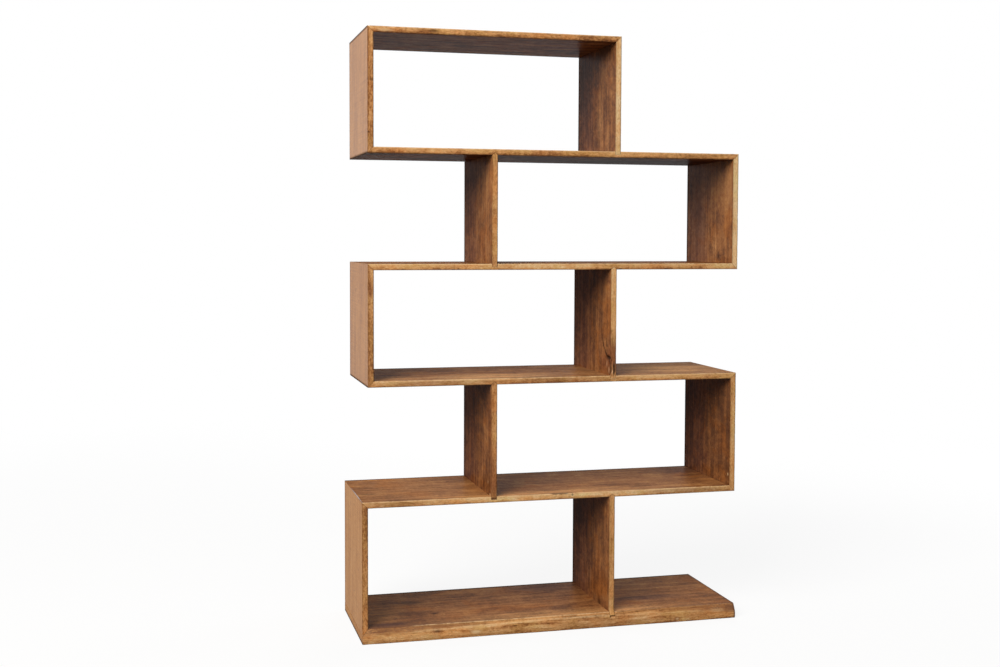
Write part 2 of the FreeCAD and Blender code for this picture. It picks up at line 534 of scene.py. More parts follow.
marks = {}
marks["base_plank"] = (
    ("gold", (50, -160, 44), (600, 65, 20), 0.8),
    # Painted light: lighter at the left end of the top, where the left panel casts shade.
    ("gold", (-530, -40, 44), (110, 180, 10), 0.45),
    ("brown", (220, -187, 20), (360, 50, 40), 0.28),
    ("purple", (-505, -148, 44), (85, 30, 14), 0.85),
    ("dark", (-401, 65, 44), (60, 30, 20), 0.55),
    ("knot", (-349, -67, 44), (34, 36, 20), 0.6),
    ("purple", (358, -51, 44), (170, 40, 20), 0.6),
    # Painted shade: darker at the back of the top around the first divider.
    ("purple", (60, 150, 44), (240, 90, 20), 0.7),
    ("brown", (-366, -187, 27), (24, 20, 12), 0.7),
    ("knot", (-366, -187, 26), (24, 20, 14), 0.55),
    ("brown", (394.5, -188, 10.4), (17, 20, 10), 0.8),
    ("pale", (394.5, -188, 10.4), (8, 20, 5), 0.7),
    ("pale", (-248.6, -187, 15.5), (22, 20, 8), 0.9),
    ("dark", (-126.2, -187, 25.8), (8, 20, 2), 0.6),
    ("brown", (-545, -187, 33.5), (50, 20, 3), 0.9),
    ("pale", (529, -187, 30), (34, 30, 9), 0.4),
    ("wane", (574, -180, 30), (30, 30, 16), 0.7),
)
marks["shelf_2"] = (
    ("crack", (18, -172, 418), (44, 10, 4), 0.65),
    ("crack", (55, -175, 413), (4, 10, 6), 0.6),
    ("pale", (516, -175, 409), (10, 4, 3), 0.6),
    ("glint", (-588, -60, 417.5), (2.8, 150, 2.8), 0.8),
    ("brown", (-490, -175, 409), (150, 10, 14), 0.5),
    ("brown", (430, -175, 409), (200, 10, 16), 0.55),
    ("gold", (0, -150, 418), (620, 60, 6), 0.55),
    ("gold", (-350, -10, 418), (300, 240, 8), 0.2),
    # Painted shade: darker in the back right corner, beside the right panel.
    ("purple", (520, 130, 418), (150, 110, 10), 0.6),
    ("dark", (-550, -53, 418), (50, 12, 10), 0.6),
    ("dark", (-333, -66, 418), (40, 6, 10), 0.4),
)
marks["shelf_3"] = (
    ("brown", (-380, -175, 764), (280, 10, 14), 0.6),
    ("brown", (0, -175, 764), (280, 10, 14), 0.45),
    ("gold", (-200, -110, 773), (260, 90, 6), 0.7),
    ("gold", (-500, -110, 773), (100, 110, 8), 0.4),
    ("gold", (420, 10, 773), (210, 130, 8), 0.7),
    # Partly paler wood, partly painted sheen.
    ("light", (400, 10, 773), (420, 360, 12), 0.24),
    ("light", (-160, -120, 773), (520, 130, 8), 0.22),
)
marks["shelf_4"] = (("dark", (203, -175, 1098.5), (7, 10, 3.5), 1.0),)
marks["shelf_5"] = (
    # Painted shade: a darker underside.
    ("dark", (280, 60, 1436), (520, 240, 8), 0.9),
    ("gold", (370, -175, 1447), (290, 12, 16), 0.6),
)
marks["top_board"] = (
    ("pale", (-520, -175, 1790), (34, 10, 6), 0.5),
    ("brown", (-405, -175, 1791), (40, 14, 12), 0.6),
    ("dark", (-376, -175, 1792), (24, 10, 8), 0.6),
    ("dark", (-578, -175, 1786), (16, 10, 14), 0.5),
)
marks["left_panel_3"] = (("reddish", (-564, -175, 1037), (14, 10, 30), 0.7),)
marks["left_panel_5"] = (
    ("brown", (-580, -175, 1690), (20, 10, 110), 0.45),
    ("dark", (-572, -175, 1496), (14, 10, 2), 0.9),
    ("dark", (-558, -175, 1647), (7, 10, 9), 0.5),
)
marks["right_panel_2"] = (("pale", (571, -163, 452), (6, 5, 6), 0.6),)
marks["right_panel_5"] = (
    ("gold", (184, -30, 1555), (10, 40, 110), 0.4),
    ("gold", (184, -105, 1500), (10, 28, 80), 0.3),
    ("purple", (184, 125, 1640), (10, 70, 180), 0.55),
    ("dark", (184, -60, 1770), (10, 80, 40), 0.5),
)
marks["right_panel_4"] = (
    ("knot", (571, -12, 1168), (20, 18, 40), 0.4),
    # Partly heartwood, partly painted shade towards the back of the compartment.
    ("purple", (571, 80, 1240), (10, 80, 130), 0.35),
    ("dark", (571, -5, 1215), (10, 12, 30), 0.45),
    ("dark", (571, -70, 1140), (10, 12, 22), 0.55),
    ("dark", (571, -110, 1150), (10, 8, 16), 0.45),
    ("gold", (571, -40, 1170), (10, 30, 60), 0.3),
)
marks["divider_1"] = (("dark", (174, -84, 46), (10, 22, 34), 0.6),)
marks["divider_2"] = (
    ("brown", (-200, -175, 510), (20, 10, 90), 0.6),
    ("reddish", (-191, -175, 445), (24, 12, 60), 0.8),
    ("dark", (-191, -175, 410), (20, 12, 10), 0.8),
    ("pale", (-200, -135, 456), (5, 4, 8), 0.5),
    ("pale", (-200, -160, 421), (5, 6, 7), 0.65),
)
marks["divider_3"] = (
    ("knot", (174, -140, 826), (20, 50, 60), 0.2),
    ("reddish", (183, -175, 830), (40, 20, 85), 0.9),
    ("reddish", (174, -125, 810), (10, 65, 50), 0.6),
    ("splinter", (180, -176, 786), (3.4, 8, 14), 0.95),
    ("splinter", (186, -176, 806), (3, 8, 14), 0.8),
    ("crack", (183.5, -175, 795), (3, 12, 20), 0.5),
    ("crack", (177, -175, 812), (3, 12, 16), 0.5),
    ("splinter", (174, -142, 807), (6, 6, 18), 0.7),
    ("splinter", (174, -161, 790), (6, 5, 16), 0.7),
)
for name, rows in marks.items():
    boards[name]["marks"] = rows


# Finish of the boards, where one differs from the others. The tones make a board or one kind of its faces
# paler or darker. A key such as edge_fleck replaces the weight of a pattern. "outer" is -1 where the paler
# outer face looks left, and 1 where it looks right; that face is paler partly as sawn wood and partly as
# painted sheen. The ends listed for an outer face get a line of painted shade.

finishes = {
    "base_plank": {
        "edge_tone": 0.06, "lower_shade": -0.08, "edge_streak": 1.1, "coat_roughness": 0.42,
        "outer": -1, "outer_tone": 0.15, "outer_coat": 0.26, "darkened": ("foot",), "end_grain": True,
    },
    "shelf_2": {"edge_tone": 0.28, "coat_roughness": 0.42},
    "shelf_3": {"edge_tone": 0.2, "coat_roughness": 0.42},
    "shelf_4": {"edge_tone": 0.18, "coat_roughness": 0.42},
    # under_tone: painted shade, a darker underside.
    "shelf_5": {"under_tone": -0.16},
    "top_board": {"edge_tone": -0.08, "edge_fleck": 1.2, "edge_streak": 0.8},
    "left_panel_1": {
        "edge_tone": -0.06, "edge_fleck": 1.1, "outer": -1, "outer_tone": 0.15, "outer_coat": 0.26,
    },
    "left_panel_3": {
        "edge_tone": -0.06, "edge_fleck": 1.1, "outer": -1, "outer_coat": 0.46, "darkened": ("foot",),
    },
    "left_panel_5": {
        "edge_tone": -0.08, "edge_fleck": 1.1, "outer": -1, "outer_coat": 0.58, "darkened": ("foot", "top"),
    },
    "right_panel_2": {"tone": -0.13, "edge_tone": 0.24, "outer": 1},
    "right_panel_4": {"tone": 0.02, "edge_tone": 0.44, "face_mottle": 0.4, "outer": 1, "coat": 0.13},
    "right_panel_5": {"tone": -0.05, "edge_tone": 0.4, "face_mottle": 0.5, "outer": 1, "coat": 0.16},
    "divider_1": {"tone": -0.08, "edge_tone": 0.1},
    "divider_2": {"tone": -0.08, "edge_tone": 0.04},
    "divider_3": {"tone": -0.13, "edge_tone": 0.26},
    "divider_4": {"coat": 0.08},
}
for name, values in finishes.items():
    boards[name].update(values)


# Materials

# Numbers of the colour sockets of a mix node
mix_first, mix_second, mix_result = 6, 7, 2


class Graph:
    """Node tree of one material or world, with short calls for the nodes used here."""

    def __init__(self, owner):
        self.owner = owner
        owner.use_nodes = True
        self.tree = owner.node_tree
        self.tree.nodes.clear()

    def node(self, kind, **settings):
        made = self.tree.nodes.new(kind)
        for key, value in settings.items():
            setattr(made, key, value)
        return made

    def put(self, socket, value):
        if isinstance(value, bpy.types.NodeSocket):
            self.tree.links.new(value, socket)
        else:
            socket.default_value = value

    def fill(self, kind, inputs):
        """Outputs of a new node whose inputs are set by name."""
        made = self.node(kind)
        for key, value in inputs.items():
            self.put(made.inputs[key], value)
        return made.outputs

    def wire(self, made, *values):
        """Outputs of a node whose inputs are set in their order."""
        for socket, value in zip(made.inputs, values):
            self.put(socket, value)
        return made.outputs

    def math(self, operation, *values):
        return self.wire(self.node("ShaderNodeMath", operation=operation), *values)[0]

    def times(self, first, second):
        return self.math("MULTIPLY", first, second)

    def scaled(self, value, factor, plus):
        """A value times a factor, plus another value."""
        return self.math("MULTIPLY_ADD", value, factor, plus)

    def vector(self, operation, *values):
        outputs = self.wire(self.node("ShaderNodeVectorMath", operation=operation), *values)
        return outputs["Value" if operation == "LENGTH" else "Vector"]

    def noise(self, place, detail, roughness, swirl=0.0):
        inputs = {"Vector": place, "Scale": 1.0, "Detail": detail, "Roughness": roughness}
        return self.fill("ShaderNodeTexNoise", {**inputs, "Distortion": swirl})

    def fit(self, value, low, high, to_low=0.0, to_high=1.0):
        made = self.node("ShaderNodeMapRange", interpolation_type="SMOOTHSTEP")
        return self.wire(made, value, low, high, to_low, to_high)["Result"]

    def ramp(self, factor, rows, interpolation="LINEAR"):
        made = self.node("ShaderNodeValToRGB")
        made.color_ramp.interpolation = interpolation
        elements = made.color_ramp.elements
        while len(elements) < len(rows):
            elements.new(1.0)
        for element, (place, value) in zip(elements, rows):
            element.position = place
            element.color = value
        self.put(made.inputs["Fac"], factor)
        return made.outputs["Color"]

    def mix(self, factor, first, second, blend="MIX"):
        made = self.node("ShaderNodeMix", data_type="RGBA", blend_type=blend)
        self.put(made.inputs["Factor"], factor)
        self.put(made.inputs[mix_first], first)
        self.put(made.inputs[mix_second], second)
        return made.outputs[mix_result]

    def blend(self, factor, first, second):
        """Mix of two shaders."""
        return self.wire(self.node("ShaderNodeMixShader"), factor, first, second)[0]

    def split(self, vector):
        return self.fill("ShaderNodeSeparateXYZ", {"Vector": vector})

    def place(self):
        return self.node("ShaderNodeTexCoord").outputs["Object"]

    def value(self, name):
        return self.node("ShaderNodeAttribute", attribute_name=name).outputs["Fac"]


# Wood tones from the darkest streak to the palest: broad faces, front and back edges, outer faces
face_stops = stops(
    (0.0, 60, 38, 29), (0.3, 106, 67, 41), (0.5, 144, 94, 55), (0.7, 170, 118, 71), (1.0, 198, 150, 98),
)
edge_stops = stops(
    (0.0, 98, 60, 36), (0.3, 162, 108, 64), (0.5, 204, 148, 94), (0.7, 222, 172, 116), (1.0, 240, 206, 158),
)
# Outer faces are paler: partly the sawn wood, partly painted sheen standing in for their grazing
# reflection.
outer_stops = stops((0.0, 112, 70, 38), (0.35, 160, 106, 60), (0.6, 186, 130, 76), (1.0, 212, 162, 106))
deep_brown = colour(46, 27, 20)
wane_tone = colour(118, 80, 58)
# Pale sapwood; also the paler arrises, partly wear and partly a painted highlight.
sap_and_highlight_tone = colour(230, 194, 146)
dash_tone = colour(112, 70, 44)
# Painted shade along the back edge and at the ends of outer faces
painted_shade_tone = colour(34, 22, 17)
end_tone = colour(84, 54, 40)
mark_tones = {
    "dark": deep_brown, "pale": sap_and_highlight_tone, "wane": wane_tone, "brown": colour(132, 80, 50),
    "reddish": colour(130, 76, 46), "splinter": colour(208, 162, 122),
    "light": colour(220, 172, 120), "gold": colour(194, 140, 88),
    "glint": colour(206, 208, 214), "purple": colour(80, 50, 46),
}
plain_marks = ("pale", "splinter", "glint")

# Drifts of hue: the two noise levels between which a tint sets in, its share and the tint
orange_tint = (1.05, 0.86, 0.58, 1.0)
purple_tint = (0.66, 0.58, 0.66, 1.0)
red_tint = (1.0, 0.86, 0.74, 1.0)
olive_tint = (0.94, 0.98, 0.84, 1.0)
flat_hues = ((0.50, 0.66, 0.7, orange_tint), (0.48, 0.34, 0.4, purple_tint))
upright_hues = ((0.50, 0.66, 0.7, orange_tint), (0.48, 0.34, 0.65, purple_tint))
edge_hues = ((0.50, 0.62, 0.7, red_tint), (0.48, 0.36, 0.7, olive_tint))
broad_hold = (-0.85, 1.0)
# Painted shade and sheen on undersides: a cooler, greyer tint and its share
underside_shade_and_sheen_tint = (0.82, 0.80, 0.94, 1.0)
underside_shade_and_sheen_share = 0.85
# Purple tint towards the back of an upright's faces: partly heartwood, partly painted shade at the back of
# its compartment.
heartwood_and_shade_tint = (0.78, 0.74, 1.04, 1.0)
heartwood_and_shade_fit = (0.40, 0.72, 0.0, 0.85)
heartwood_and_shade_wander = 0.5

# Patterns: length along the grain, width across it, detail, roughness, shift and swirl
patterns = {
    "cloud": (0.14, 0.13, 3, 0.55, 0.0, 1.0),
    "band": (0.11, 0.02, 4, 0.65, 3.0, 0.6),
    "streak": (0.085, 0.009, 3, 0.6, 5.0, 0.4),
    "mottle": (0.02, 0.026, 3, 0.65, 9.0, 0.8),
    "fleck": (0.009, 0.0035, 3, 0.7, 13.0, 0.0),
    "pore": (0.009, 0.0008, 1, 0.5, 21.0, 0.0),
    "curl": (0.011, 0.05, 1, 0.5, 25.0, 0.0),
    "dash": (0.012, 0.03, 1, 0.5, 41.0, 0.0),
    # Streaks of painted sheen on undersides
    "sheen_sweep": (0.22, 0.03, 3, 0.7, 45.0, 0.0),
    "figure": (0.035, 0.07, 3, 0.55, 53.0, 1.2),
    "sawn": (0.1, 0.16, 2, 0.5, 61.0, 0.0),
    "cut": (0.0055, 0.3, 2, 0.6, 57.0, 0.0),
    "ring": (0.9, 0.05, 1, 0.5, 17.0, 0.0),
    "flat_hue": (0.2, 0.14, 3, 0.55, 31.0, 1.0),
    "upright_hue": (0.09, 0.1, 3, 0.55, 31.0, 1.0),
    "edge_hue": (0.09, 0.05, 2, 0.5, 37.0, 0.0),
}

# Weights of the patterns in the tone of flat boards, uprights, edges and outer faces
pattern_weights = {
    "cloud": (0.6, 0.6, 0.55, 0.3),
    "band": (0.46, 0.22, 0.2, 0.18),
    "streak": (0.2, 0.08, 0.5, 0.1),
    "figure": (0.0, 0.34, 0.0, 0.0),
    "mottle": (0.36, 0.26, 0.25, 0.15),
    "fleck": (0.62, 0.62, 0.85, 0.42),
    "curl": (0.1, 0.1, 0.1, 0.12),
    "saw": (0.0, 0.0, 0.0, 0.36),
    "stave": (0.08, 0.08, 0.05, 0.05),
}
ring_count = 5.0
ring_weight = 0.07
# Strength of the painted sheen streaks on undersides
sheen_streak_weight = 1.2
# Painted shade on the lower part of front edges, which face down: where it starts and ends, in halves of
# the thickness above the lower face, and its usual strength
lower_shares = (2.1, 1.2)
usual_lower_shade = -0.22

# Staves that a board is glued from, and how the grain jumps and bends
stave_widths = (0.34, 0.62)
last_stave = 0.9
stave_jump = 3.0
warp_reach = 16 * mm
warp_length = 0.17
seed_steps = (1.37, 2.11, 0.73)

# Ranges of the surface's direction for edges, outer faces and undersides
edge_facing = (0.45, 0.85)
outer_facing = (0.6, 0.9)
under_facing = (-0.6, -0.9)

# Marks, wear and the painted arris highlight. Rims and fits start with the range of a value; two more
# numbers are the range of the result. edge_pores, ripple_dark, a hold and a roughness pair are a factor and
# what is added.
mark_fray = 0.9
crack_fray = 1.6
mark_rim = (0.2, 1.0)
knot_rim = (0.10, 0.45)
crack_rim = (0.5, 1.0)
mark_grain = 2.4
dash_fit = (0.66, 0.76, 0.0, 0.35)
pore_fit = (0.58, 0.70)
edge_pores = (0.15, 0.35)
bark_fit = (0.35, 0.65, 0.35, 0.95)
wear_and_highlight_fit = (0.35, 0.6, 0.25, 0.75)
arris_dark = -0.40
seam_dark = 0.4
pit_dark = 0.95

# Painted shade along the back edge and at the ends of outer faces, and darker end grain
back_shade_width = 17 * mm
back_shade_dark = 0.9
outer_hold = (-0.5, 1.0)
foot_line = 9 * mm
line_dark = 0.95
end_dark = 0.75

# Relief and coat
fleck_height = 0.6
streak_height = 0.4
pore_height = -1.2
sawn_fit = (0.42, 0.60)
ripple_pitch = 8.5 * mm
ripple_sway = 3.0
ripple_height = 0.08
ripple_dark = (0.04, 0.04)
bump_strength = 0.3
bump_distance = 0.4 * mm
streak_roughness = (0.25, 0.45)
thin_coat = 0.05
usual_coat_roughness = 0.32


class Wood(Graph):
    """Oiled solid wood of one board, with its grain along X or Z."""

    def __init__(self, name, spec, seed):
        super().__init__(bpy.data.materials.new(name + "_wood"))
        self.spec = spec
        self.seed = seed
        self.flat = spec["along"] == "x"
        self.low, self.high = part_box(name)
        self.at = self.place()
        self.x, self.y, self.z = self.split(self.at)
        self.across = self.scaled(self.y, 1 / depth, -front / depth)
        self.grains = {}

    def build(self):
        """The finished material."""
        self.lay_staves()
        self.find_faces()
        self.place_marks()
        tone, texture = self.tone()
        shade = self.tinted(self.shade_of(tone))
        shade = self.pored(shade)
        shade = self.marked(shade, texture)
        shade = self.wear_and_highlight(shade)
        shade = self.darkened(shade)
        return self.oiled(*self.sawn(shade))

    def stave_ramp(self):
        """Random colour for each of the staves, constant over a stave."""
        draw = random.Random(self.seed)
        rows = []
        place = 0.0
        while place <= last_stave:
            rows.append((place, (draw.random(), draw.random(), draw.random(), 1.0)))
            place += draw.uniform(*stave_widths)
        return self.ramp(self.across, rows, "CONSTANT")

    def lay_staves(self):
        """Space of the grain, which jumps from stave to stave and bends a little."""
        staves = self.stave_ramp()
        self.grains["stave"] = self.split(staves)[0]
        moved = self.vector("MULTIPLY_ADD", staves, (stave_jump,) * 3, self.at)
        bends = self.vector("MULTIPLY", moved, (1 / warp_length,) * 3)
        bends = self.noise(bends, detail=1, roughness=0.5)["Color"]
        reach = (0.0, warp_reach, warp_reach) if self.flat else (warp_reach, warp_reach, 0.0)
        self.moved = self.vector("MULTIPLY_ADD", bends, reach, moved)
        self.patches = self.fit(self.grain("sawn"), *sawn_fit)
        self.grains["saw"] = self.scaled(self.centred("cut"), self.patches, 0.5)

    def grain(self, kind):
        """One of the patterns: noise drawn out along the grain."""
        if kind not in self.grains:
            length, width, detail, roughness, shift, swirl = patterns[kind]
            scale = (1 / length, 1 / width, 1 / width)
            if not self.flat:
                scale = scale[::-1]
            offset = tuple(self.seed * step + shift for step in seed_steps)
            place = self.vector("MULTIPLY_ADD", self.moved, scale, offset)
            self.grains[kind] = self.noise(place, detail, roughness, swirl)["Fac"]
        return self.grains[kind]

    def centred(self, kind):
        """One of the patterns, about 0."""
        return self.math("SUBTRACT", self.grain(kind), 0.5)

    def find_faces(self):
        """Masks of the edges, the outer face, the underside and all but the outer face."""
        normal_x, normal_y, normal_z = self.split(self.node("ShaderNodeNewGeometry").outputs["Normal"])
        outer = self.times(normal_x, float(self.spec.get("outer", 0)))
        self.edge = self.fit(self.math("ABSOLUTE", normal_y), *edge_facing)
        self.outward = self.fit(outer, *outer_facing)
        self.under = self.fit(normal_z, *under_facing)
        self.inside = self.math("SUBTRACT", 1.0, self.outward)

    def place_marks(self):
        """Amounts of the marks and open cracks, and the growth lines round the knots."""
        self.spots = []
        self.open_cracks = []
        rings = self.times(self.grain("ring"), ring_count)
        for kind, centre, size, strength in self.spec.get("marks", ()):
            inverse = tuple(1 / (s * mm) for s in size)
            offset = tuple(-c / s for c, s in zip(centre, size))
            away = self.vector("LENGTH", self.vector("MULTIPLY_ADD", self.at, inverse, offset))
            away = self.scaled(self.centred("streak"), mark_fray, away)
            if kind == "knot":
                rings = self.scaled(self.fit(away, 0.0, 1.0, 1.0, 0.0), ring_count, rings)
                self.spots.append((self.fit(away, *knot_rim, strength, 0.0), "dark"))
            elif kind == "crack":
                away = self.scaled(self.centred("fleck"), crack_fray, away)
                self.open_cracks.append(self.fit(away, *crack_rim, strength, 0.0))
            else:
                self.spots.append((self.fit(away, *mark_rim, strength, 0.0), kind))
        self.lines = self.math("SINE", self.times(rings, 2 * math.pi))

    def tone(self):
        """Tone of the wood, and its finer part, which shows in the marks too."""
        spec = self.spec
        tone = self.scaled(self.lines, ring_weight, 0.5 + spec.get("tone", 0.0))
        texture = self.times(self.lines, ring_weight)
        for kind, (on_flat, on_upright, on_edge, on_outer) in pattern_weights.items():
            on_face = spec.get("face_" + kind, on_flat if self.flat else on_upright)
            on_edge = spec.get("edge_" + kind, on_edge)
            weight = self.scaled(self.edge, on_edge - on_face, on_face)
            weight = self.scaled(self.outward, on_outer - on_face, weight)
            part = self.times(self.centred(kind), weight)
            tone = self.math("ADD", tone, part)
            if kind != "cloud":
                texture = self.math("ADD", texture, part)
        tone = self.scaled(self.edge, spec.get("edge_tone", 0.0), tone)
        # outer_tone makes an outer face paler still: partly the wood, partly painted sheen.
        tone = self.scaled(self.outward, spec.get("outer_tone", 0.0), tone)
        # Painted shade: the lower part of a flat board's front edge, which faces down, is darker.
        if self.flat:
            uneven = self.scaled(self.grain("mottle"), board, self.z)
            start, end = (self.low.z + share * half for share in lower_shares)
            lower = self.fit(uneven, start, end, 0.0, self.edge)
            tone = self.scaled(lower, spec.get("lower_shade", usual_lower_shade), tone)
        # Painted sheen and shade on the underside: light and dark streaks of the sheen it reflects, and
        # under_tone, which darkens it.
        sheen_streaks = self.times(self.centred("sheen_sweep"), self.under)
        tone = self.scaled(sheen_streaks, sheen_streak_weight, tone)
        return self.scaled(self.under, spec.get("under_tone", 0.0), tone), texture

    def shade_of(self, tone):
        """Colour of a tone on each kind of face."""
        shade = self.mix(self.edge, self.ramp(tone, face_stops), self.ramp(tone, edge_stops))
        return self.mix(self.outward, shade, self.ramp(tone, outer_stops))

    def tinted(self, shade):
        """Colour with its drifts of hue, a cooler, greyer underside that is painted shade and sheen, and,
        in an upright, a purple tint towards the back that is partly heartwood and partly painted shade.
        """
        broad = self.times(self.inside, self.scaled(self.edge, *broad_hold))
        kind, hues = ("flat_hue", flat_hues) if self.flat else ("upright_hue", upright_hues)
        shade = self.hued(shade, kind, hues, broad)
        shade = self.mix(self.times(self.under, underside_shade_and_sheen_share), shade, underside_shade_and_sheen_tint, "MULTIPLY")
        if not self.flat:
            # Purple tint towards the back: partly heartwood, partly painted shade.
            wander = self.scaled(self.centred("band"), heartwood_and_shade_wander, self.across)
            heartwood_and_shade = self.times(self.fit(wander, *heartwood_and_shade_fit), broad)
            shade = self.mix(heartwood_and_shade, shade, heartwood_and_shade_tint, "MULTIPLY")
        return self.hued(shade, "edge_hue", edge_hues, self.edge)

    def hued(self, shade, kind, hues, mask):
        """Colour with the tints of one pattern, inside a mask."""
        for start, end, share, tint in hues:
            amount = self.times(self.fit(self.grain(kind), start, end, 0.0, share), mask)
            shade = self.mix(amount, shade, tint, "MULTIPLY")
        return shade

    def pored(self, shade):
        """Colour with dark dashes on the outer face and pores all over."""
        dashes = self.times(self.fit(self.grain("dash"), *dash_fit), self.outward)
        shade = self.mix(dashes, shade, dash_tone)
        share = self.scaled(self.edge, *edge_pores)
        self.pores = self.times(self.fit(self.grain("pore"), *pore_fit), share)
        return self.mix(self.pores, shade, deep_brown)

    def marked(self, shade, texture):
        """Colour with the marks. All but the plain ones keep the texture of the wood."""
        texture = self.scaled(texture, mark_grain, 1.0)
        for amount, kind in self.spots:
            tone = mark_tones[kind]
            if kind not in plain_marks:
                tone = self.mix(1.0, tone, texture, "MULTIPLY")
            shade = self.mix(amount, shade, tone)
        return shade

    def wear_and_highlight(self, shade):
        """Colour with paler upper front arrises, partly from wear and partly as a painted highlight, and
        darker wane, other arrises, joints, pits and cracks.
        """
        arris = self.value("arris")
        bark = self.times(self.value("bevel"), self.fit(self.grain("fleck"), *bark_fit))
        shade = self.mix(bark, shade, wane_tone)
        uneven_wear_and_highlight = self.fit(self.grain("mottle"), *wear_and_highlight_fit)
        shade = self.mix(self.times(self.math("MAXIMUM", arris, 0.0), uneven_wear_and_highlight), shade, sap_and_highlight_tone)
        dark = self.times(self.math("MINIMUM", arris, 0.0), arris_dark)
        seam = self.times(self.value("seam"), self.times(self.inside, seam_dark))
        pit = self.times(self.value("pit"), pit_dark)
        for amount in (seam, pit, *self.open_cracks):
            dark = self.math("MAXIMUM", dark, amount)
        return self.mix(dark, shade, deep_brown)

    def darkened(self, shade):
        """Colour with painted shade along the back edge and at the listed ends of an outer face, and with
        darker end grain.
        """
        # Painted shade: a dark band along the back edge, and dark lines at the listed ends of an outer
        # face.
        painted_shade_mask = self.fit(self.y, back - back_shade_width, back, 0.0, back_shade_dark)
        painted_shade_mask = self.times(painted_shade_mask, self.scaled(self.outward, *outer_hold))
        painted_shade_mask = self.times(painted_shade_mask, self.math("SUBTRACT", 1.0, self.edge))
        levels = {"foot": self.low.z, "top": self.high.z}
        for end in self.spec.get("darkened", ()):
            away = self.math("ABSOLUTE", self.math("SUBTRACT", self.z, levels[end]))
            line = self.times(self.fit(away, foot_line, 0.0, 0.0, line_dark), self.outward)
            painted_shade_mask = self.math("MAXIMUM", painted_shade_mask, line)
        if "end_grain" in self.spec:
            end = self.fit(self.x, self.high.x - foot_line, self.high.x, 0.0, end_dark)
            shade = self.mix(end, shade, end_tone)
        self.painted_shade_mask = painted_shade_mask
        return self.mix(painted_shade_mask, shade, painted_shade_tone)

    def sawn(self, shade):
        """Colour and height of the surface, with saw ripples on an outer face."""
        streaks = self.times(self.grain("streak"), streak_height)
        height = self.scaled(self.grain("fleck"), fleck_height, streaks)
        height = self.scaled(self.pores, pore_height, height)
        if "outer" in self.spec:
            along = self.x if self.flat else self.z
            sway = self.times(self.grain("mottle"), ripple_sway)
            wave = self.math("SINE", self.scaled(along, 2 * math.pi / ripple_pitch, sway))
            ripple = self.times(wave, self.times(self.outward, self.patches))
            height = self.scaled(ripple, ripple_height, height)
            shade = self.mix(self.scaled(ripple, *ripple_dark), shade, deep_brown)
        return shade, height

    def oiled(self, shade, height):
        """Material with a satin coat, thinner where the painted shade is."""
        relief = {"Strength": bump_strength, "Distance": bump_distance, "Height": height}
        normal = self.fill("ShaderNodeBump", relief)["Normal"]
        coat = self.spec.get("coat", thin_coat)
        if "outer_coat" in self.spec:
            coat = self.scaled(self.outward, self.spec["outer_coat"] - coat, coat)
        shader = self.fill("ShaderNodeBsdfPrincipled", {
            "Base Color": shade,
            "Roughness": self.scaled(self.grain("streak"), *streak_roughness),
            "Specular IOR Level": 0.0,
            "Normal": normal,
            "Coat Weight": self.times(self.math("SUBTRACT", 1.0, self.painted_shade_mask), coat),
            "Coat Roughness": self.spec.get("coat_roughness", usual_coat_roughness),
            "Coat Normal": normal,
        })
        self.fill("ShaderNodeOutputMaterial", {"Surface": shader["BSDF"]})
        return self.owner


ply_fibres = (900.0, 30.0, 900.0)
ply_blotches = (60.0, 12.0, 60.0)
ply_stops = stops((0.3, 176, 140, 98), (0.5, 206, 172, 128), (0.7, 226, 198, 158))
ply_relief = 0.2 * mm
ply_roughness = (0.2, 0.6)


def plywood():
    """Bare plywood of the tongues inside the joints."""
    graph = Graph(bpy.data.materials.new("tongue_plywood"))
    place = graph.place()
    fibres = graph.noise(graph.vector("MULTIPLY", place, ply_fibres), detail=2, roughness=0.6)["Fac"]
    blotches = graph.noise(graph.vector("MULTIPLY", place, ply_blotches), detail=2, roughness=0.5)["Fac"]
    tone = graph.scaled(fibres, 0.5, graph.times(blotches, 0.5))
    shader = graph.fill("ShaderNodeBsdfPrincipled", {
        "Base Color": graph.ramp(tone, ply_stops),
        "Roughness": graph.scaled(blotches, *ply_roughness),
        "Normal": graph.fill("ShaderNodeBump", {"Distance": ply_relief, "Height": fibres})["Normal"],
    })
    graph.fill("ShaderNodeOutputMaterial", {"Surface": shader["BSDF"]})
    return graph.owner


# Assembly

for seed, (name, spec) in enumerate(boards.items(), start=1):
    low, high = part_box(name)
    ends = (low.x, high.x) if spec["along"] == "x" else (low.z, high.z)
    spec["chips"] = draw_chips(*ends, seed) + spec.get("cuts", [])
    piece = bpy.data.objects.new(name + "_oiled", board_mesh(name, spec, seed))
    bpy.context.scene.collection.objects.link(piece)
    piece.data.materials.append(Wood(name, spec, seed).build())
    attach(piece, "root")
    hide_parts(name)

tongue_material = plywood()
for name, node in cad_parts.items():
    if name not in boards:
        node.data.materials.clear()
        node.data.materials.append(tongue_material)


# Stage: pale floor that fades to white, plain soft light, white background

floor_half = 30.0
floor_grey = 0.9
floor_glow = 0.87
bounce_grey = 0.14
floor_fade = (1.6, 5.0)
sky_tint = (0.84, 0.90, 1.0, 1.0)
sky_strength = 0.115
white = (1.0, 1.0, 1.0, 1.0)
lit_middle = (0.0, 0.0, 0.9)

# Lights: name, place, size, power and tint
lights = (
    ("key", (-5.8, -5.1, 5.6), 6.0, 1150, (1.0, 0.97, 0.92)),
    ("fill_right", (4.5, 1.2, 1.6), 2.6, 80, white[:3]),
    ("fill_back", (1.5, 4.5, 1.9), 3.0, 100, white[:3]),
)


def seen_rays(graph):
    """1 for rays that show a surface: from the camera, mirrored or through glass."""
    rays = graph.node("ShaderNodeLightPath").outputs
    seen = graph.math("MAXIMUM", rays["Is Camera Ray"], rays["Is Glossy Ray"])
    return graph.math("MAXIMUM", seen, rays["Is Transmission Ray"])


